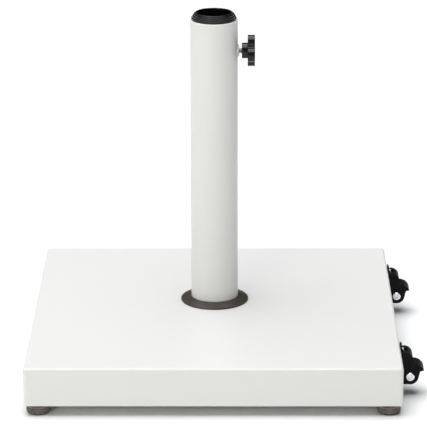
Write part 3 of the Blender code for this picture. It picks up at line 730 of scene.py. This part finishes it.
def housing_outline(wall, top, axle):
    """The unit's side view: flange, shoulder, fender, a step back and axle boss, as (x, z) points."""
    back, flange = wall + 0.3 * MM, wall + FLANGE_PLATE
    flange_top, flange_bottom = top - FLANGE_TOP, top - FLANGE_BOTTOM
    outline = [(back, flange_bottom), (back, flange_top), (flange - 1.2 * MM, flange_top)]
    outline += [(flange - 0.4 * MM, flange_top - 0.4 * MM), (flange, flange_top - 1.2 * MM)]
    outline += arc((wall + SHOULDER[0], top - SHOULDER[1]), SHOULDER_RADIUS, 107, -15, 28)
    outline += arc((wall + FENDER[0], top - FENDER[1]), FENDER_RADIUS, 96, 25.8, 24)
    outline += [(wall + 27 * MM, outline[-1][1] - 1.5 * MM)]
    outline += arc(axle, AXLE_BOSS, 0, -96, 18)
    outline += [(flange, flange_bottom)]
    return outline


def fender_ribs(shape, fender, face):
    """Three raised lines that follow the fender's edge, on the cheek whose outer face is at this y."""
    half_width, thickness = 0.4 * MM, 1 * MM
    for radius in (8.2 * MM, 10.2 * MM, 12.2 * MM):
        line = arc(fender, radius + half_width, 36, 84, 12) + arc(fender, radius - half_width, 84, 36, 12)
        shape = joined(shape, moved(extruded(line, thickness, "Y"), (0, face, 0)))
    return shape


def housing(end):
    """A wheel's housing: a fork open below, a pocket for the tyre, and room for the screws and a driver."""
    node = f"wheel_housing_{end}"
    wall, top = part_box("top_cover")[1].x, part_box("top_cover")[1].z
    centre, pin = middle(node), middle(f"wheel_axle_{end}")
    width = extent(node).y
    inside = width - 2 * CHEEK
    shape = extruded(housing_outline(wall, top, (pin.x, pin.z)), width, "Y")
    for face in (-width / 2, width / 2):
        shape = fender_ribs(shape, (wall + FENDER[0], top - FENDER[1]), face)
    pocket = extent(f"wheel_tyre_{end}").x / 2 + 0.8 * MM
    shape = bored(shape, pocket, -inside / 2, inside / 2, [(pin.x, 0, pin.z)], "Y", 96)
    fork_height, fork_top = 22 * MM, pin.z + 5.5 * MM
    fork = box_shape((42 * MM, inside, fork_height))
    shape = cut(shape, moved(fork, (wall + 16 * MM, 0, fork_top - fork_height / 2)))
    upper, lower = (middle(f"housing_screw_{end}_{label}").z for label in ("upper", "lower"))
    well = box_shape((7 * MM, 9 * MM, 14 * MM))
    shape = cut(shape, moved(well, (wall + 6.5 * MM, 0, upper + 2 * MM)))
    driver_room = 3.9 * MM
    shape = bored(shape, driver_room, 0, 30 * MM, [(wall + FLANGE_PLATE, 0, lower)], "X", 40)
    shape = moved(shape, (-centre.x, 0, -centre.z))
    name = f"housing_{end}"
    add_piece(name, shape, centre, BLACK, "base", [node], bevel=0.45 * MM, sharp=38)


def axle(end):
    """A low chrome head with a turned groove and a centre mark, on the front cheek, and the pin behind it."""
    node = f"wheel_axle_{end}"
    lo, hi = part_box(node)
    centre = middle(node)
    radius = (hi.x - lo.x) / 2
    head, length = 3 * MM, hi.y - lo.y
    profile = [(0, 0.6 * MM, 0), (1.4 * MM, 0.6 * MM, 0.3 * MM), (1.7 * MM, 0.1 * MM, 0.3 * MM)]
    profile += [(2.3 * MM, 0.1 * MM, 0.3 * MM), (2.6 * MM, 0.7 * MM, 0.2 * MM)]
    profile += [(3.1 * MM, 0.7 * MM, 0.2 * MM), (3.4 * MM, 0.1 * MM, 0.3 * MM)]
    profile += [(radius - 0.6 * MM, 0.2 * MM, 0.6 * MM), (radius, 1 * MM, 0.6 * MM)]
    profile += [(radius, head, 0.2 * MM), (AXLE_PIN, head, 0), (AXLE_PIN, length, 0), (0, length, 0)]
    shape = turned(filleted(profile), "Y", 72)
    place = (centre.x, lo.y, centre.z)
    add_piece(f"axle_{end}", shape, place, CHROME, "base", [node], sharp=50)


def clip(end):
    """The domed cap pushed on the pin's rear end."""
    node = f"axle_clip_{end}"
    lo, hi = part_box(node)
    centre = middle(node)
    radius, height = (hi.x - lo.x) / 2, hi.y - lo.y
    socket_radius, socket_depth = AXLE_PIN + 0.3 * MM, 4.6 * MM
    profile = [(0, socket_depth, 0), (socket_radius, socket_depth, 0), (socket_radius, 0, 0)]
    profile += [(radius, 0, 0.3 * MM), (radius, 1.6 * MM, 0.3 * MM), (radius - 0.8 * MM, 2 * MM, 0.4 * MM)]
    profile += [(radius - 1.2 * MM, height, 1.4 * MM), (0, height, 0)]
    shape = turned(filleted(profile), "Y", 56)
    place = (centre.x, lo.y, centre.z)
    add_piece(f"axle_clip_look_{end}", shape, place, CHROME, "base", [node])


def tyre(end):
    """A tyre with round shoulders and two grooves."""
    node = f"wheel_tyre_{end}"
    radius, half = extent(node).x / 2, extent(node).y / 2
    inner = extent(f"wheel_hub_{end}").x / 2 + 0.2 * MM
    profile = [(inner, -half, 0.2 * MM), (radius - 0.6 * MM, -half, 2.4 * MM), (radius, -half * 0.5, 4 * MM)]
    for groove in (-0.22, 0.22):
        at = groove * half
        profile += [(radius, at - 0.7 * MM, 0.2 * MM), (radius - 0.7 * MM, at - 0.35 * MM, 0.2 * MM)]
        profile += [(radius - 0.7 * MM, at + 0.35 * MM, 0.2 * MM), (radius, at + 0.7 * MM, 0.2 * MM)]
    profile += [(radius, half * 0.5, 4 * MM), (radius - 0.6 * MM, half, 2.4 * MM), (inner, half, 0.2 * MM)]
    shape = turned(filleted(profile, closed=True, steps=5), "Y", 96, ring=True)
    place = middle(node)
    add_piece(f"tyre_{end}", shape, place, RUBBER, f"wheel_{end}", [node], sharp=50)


def hub(end):
    """A hub with a raised rim and a raised ring round its bore on both sides."""
    node = f"wheel_hub_{end}"
    radius, half = extent(node).x / 2, extent(node).y / 2
    rim, web = radius - 1.3 * MM, half - 2 * MM
    side = [(AXLE_PIN + 0.3 * MM, half, 0), (4.6 * MM, half, 0.4 * MM), (5 * MM, web, 0.5 * MM)]
    side += [(rim - 0.4 * MM, web, 0.5 * MM), (rim, half, 0.3 * MM), (radius, half, 0.3 * MM)]
    profile = side + [(r, -h, f) for r, h, f in reversed(side)]
    shape = turned(filleted(profile, closed=True, steps=4), "Y", 72, ring=True)
    place = middle(f"wheel_tyre_{end}")
    add_piece(f"hub_{end}", shape, place, WHEEL_PLASTIC, f"wheel_{end}", [node])


def housing_screws(end):
    """The two screws that hold a wheel unit to the cover's wall."""
    head = 2 * MM
    for label in ("upper", "lower"):
        node = f"housing_screw_{end}_{label}"
        lo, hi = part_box(node)
        centre = middle(node)
        radius, length = (hi.y - lo.y) / 2, hi.x - lo.x - head
        shank = threaded(-length, 0.4 * MM, 1.4 * MM, radius=2 * MM, axis="Z", steps=14, per_turn=6)
        shape = turned_to(joined(cross_headed(radius, head), shank), "X", 1)
        place = (hi.x - head, centre.y, centre.z)
        add_piece(f"flange_screw_{end}_{label}", shape, place, STEEL, "base", [node])


# ---------------------------------------------------------------- feet


def foot_place(node):
    """The middle of the underside of a foot's part."""
    return Vector((middle(node).x, middle(node).y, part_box(node)[0].z))


def disc(corner):
    """The grip of a foot: grooves round its side, scallops round its lower edge and a dish in its top."""
    node = f"foot_disc_{corner}"
    radius, height = extent(node).x / 2, extent(node).z
    profile = [(0, 0, 0), (radius - 1 * MM, 0, 0.3 * MM), (radius, 1.2 * MM, 0.6 * MM)]
    for level in (0.3, 0.5, 0.7):
        at = level * height
        profile += [(radius, at - 0.7 * MM, 0.2 * MM), (radius - 0.9 * MM, at, 0.2 * MM)]
        profile += [(radius, at + 0.7 * MM, 0.2 * MM)]
    dish, core, floor = height - 3.5 * MM, THREAD_ROOM + 2 * MM, 2 * MM
    profile += [(radius, height, 0.6 * MM), (radius - 2 * MM, height, 0.5 * MM)]
    profile += [(radius - 2.6 * MM, dish, 0.5 * MM), (core + 0.5 * MM, dish, 0.5 * MM)]
    profile += [(core, height, 0.3 * MM), (THREAD_ROOM, height, 0), (THREAD_ROOM, floor, 0), (0, floor, 0)]

    def scalloped(r, z, angle):
        """Twelve scallops, deepest at the lower edge and fading out upwards and inwards."""
        share = max(0.0, (r - 0.7 * radius) / (0.3 * radius)) * max(0.08, 1 - z / (0.42 * height))
        return r - 2.6 * MM * share * (1 - abs(math.cos(6 * angle))) ** 1.8

    shape = turned(filleted(profile, steps=4), steps=144, lobes=scalloped)
    place = foot_place(node)
    add_piece(f"disc_{corner}", shape, place, FOOT_GREY, f"foot_{corner}", [node])


def sole(corner):
    """The rubber pad under a foot's disc."""
    node = f"foot_sole_{corner}"
    radius, height = extent(node).x / 2, extent(node).z
    profile = [(0, 0, 0), (radius, 0, 0.5 * MM), (radius, height, 0.2 * MM), (0, height, 0)]
    shape = turned(filleted(profile), steps=72)
    add_piece(f"sole_{corner}", shape, foot_place(node), RUBBER, f"sole_{corner}", [node])


def stud(corner):
    """The threaded rod that a foot is turned on."""
    node = f"foot_stud_{corner}"
    shape = threaded(0, extent(node).z, PITCH, extent(node).x / 2, "Z", steps=20, per_turn=8)
    add_piece(f"stud_{corner}", shape, foot_place(node), STEEL, f"foot_{corner}", [node])


# ---------------------------------------------------------------- stage


def studio():
    """A white floor that melts into a white background, under a large soft light and a smaller front one."""
    outline = arc((0, 0), FLOOR_RADIUS, 0, 355, 71)
    floor = skin([[(x, y, z) for x, y in outline] for z in (-10 * MM, 0)])
    bmesh.ops.recalc_face_normals(floor, faces=floor.faces)
    mesh = bpy.data.meshes.new("studio_floor")
    floor.to_mesh(mesh)
    floor.free()
    mesh.materials.append(floor_look())
    plane = bpy.data.objects.new("studio_floor", mesh)
    plane.location = (0, 0, -0.2 * MM)
    bpy.context.scene.collection.objects.link(plane)
    surroundings()
    add_light("overhead_softbox", (-0.3, 0.1, 3.4), size=4.2, power=168, colour=(0.975, 0.99, 1.0))
    add_light("front_left_softbox", (-1.6, -3.2, 1.0), size=1.1, power=31, colour=(1.0, 0.955, 0.87))


def floor_look():
    """Matt white that glows more and more away from the object, as an evenly lit backdrop does."""
    look = Finish("studio_white", 0.9, specular=0.0)
    look.set("Base Color", (0.93, 0.935, 0.94, 1.0))
    distance = look.nodes.new("ShaderNodeVectorMath")
    distance.operation = "LENGTH"
    look.links.new(look.place, distance.inputs[0])
    look.set("Emission Color", (1.0, 1.0, 1.0, 1.0))
    glow = look.ramp(distance.outputs["Value"], GLOW_START, GLOW_END, 0.0, 0.6)
    look.links.new(glow, look.shader.inputs["Emission Strength"])
    return look.material


def surroundings():
    """Dim room light, stronger from the left front than from the right, against a backdrop seen as white."""
    world = bpy.data.worlds.new("studio_air")
    world.use_nodes = True
    nodes, links = world.node_tree.nodes, world.node_tree.links
    direction = nodes.new("ShaderNodeTexCoord")
    facing = nodes.new("ShaderNodeVectorMath")
    facing.operation = "DOT_PRODUCT"
    facing.inputs[1].default_value = Vector((-0.8, -0.5, 0.3)).normalized()
    links.new(direction.outputs["Generated"], facing.inputs[0])
    level = nodes.new("ShaderNodeMapRange")
    level.inputs["From Min"].default_value = -1
    level.inputs["From Max"].default_value = 1
    level.inputs["To Min"].default_value = 0.02
    level.inputs["To Max"].default_value = 0.3
    links.new(facing.outputs["Value"], level.inputs["Value"])
    seen = nodes.new("ShaderNodeLightPath")
    strength = nodes.new("ShaderNodeMix")
    links.new(seen.outputs["Is Camera Ray"], strength.inputs["Factor"])
    links.new(level.outputs["Result"], strength.inputs["A"])
    strength.inputs["B"].default_value = 1.1
    background = nodes["Background"]
    background.inputs["Color"].default_value = (1.0, 0.99, 0.955, 1.0)
    links.new(strength.outputs["Result"], background.inputs["Strength"])
    bpy.context.scene.world = world


def add_light(name, place, size, power, colour):
    """A round softbox aimed at the object and hidden from the camera."""
    light = bpy.data.lights.new(name, "AREA")
    light.shape = "DISK"
    light.size = size
    light.energy = power
    light.color = colour
    lamp = bpy.data.objects.new(name, light)
    lamp.location = place
    aim = Vector((0, 0, 0.2)) - Vector(place)
    lamp.rotation_euler = aim.to_track_quat("-Z", "Y").to_euler()
    lamp.visible_camera = False
    bpy.context.scene.collection.objects.link(lamp)


def camera():
    """Looks down on the cover from far in front with a long lens, its place measured in cover sides."""
    side = extent("top_cover").x
    target = Vector((middle("top_cover").x, middle("top_cover").y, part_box("top_cover")[1].z))
    place = target + side * Vector((0.0556, -7.1864, 2.5842))
    yaw, pitch, roll = math.radians(0.461), math.radians(17.866), math.radians(0.162)
    data = bpy.data.cameras.new("camera")
    data.sensor_width = 36
    data.lens = 230.04
    data.clip_end = 60
    eye = bpy.data.objects.new("camera", data)
    turn = Matrix.Rotation(yaw, 4, "Z") @ Matrix.Rotation(math.radians(90) - pitch, 4, "X")
    turn = turn @ Matrix.Rotation(-roll, 4, "Z")
    eye.matrix_world = Matrix.Translation(place) @ turn
    bpy.context.scene.collection.objects.link(eye)
    bpy.context.scene.camera = eye


cover()
hidden_base_parts()
plate_screws()
socket()
seat()
boss()
collar()
rosette()
clamp_screw()
clamp_tip()
knob()
for end in ENDS:
    housing(end)
    axle(end)
    clip(end)
    tyre(end)
    hub(end)
    housing_screws(end)
for corner in CORNERS:
    disc(corner)
    sole(corner)
    stud(corner)
studio()
camera()
bpy.context.scene.view_settings.view_transform = "Standard"
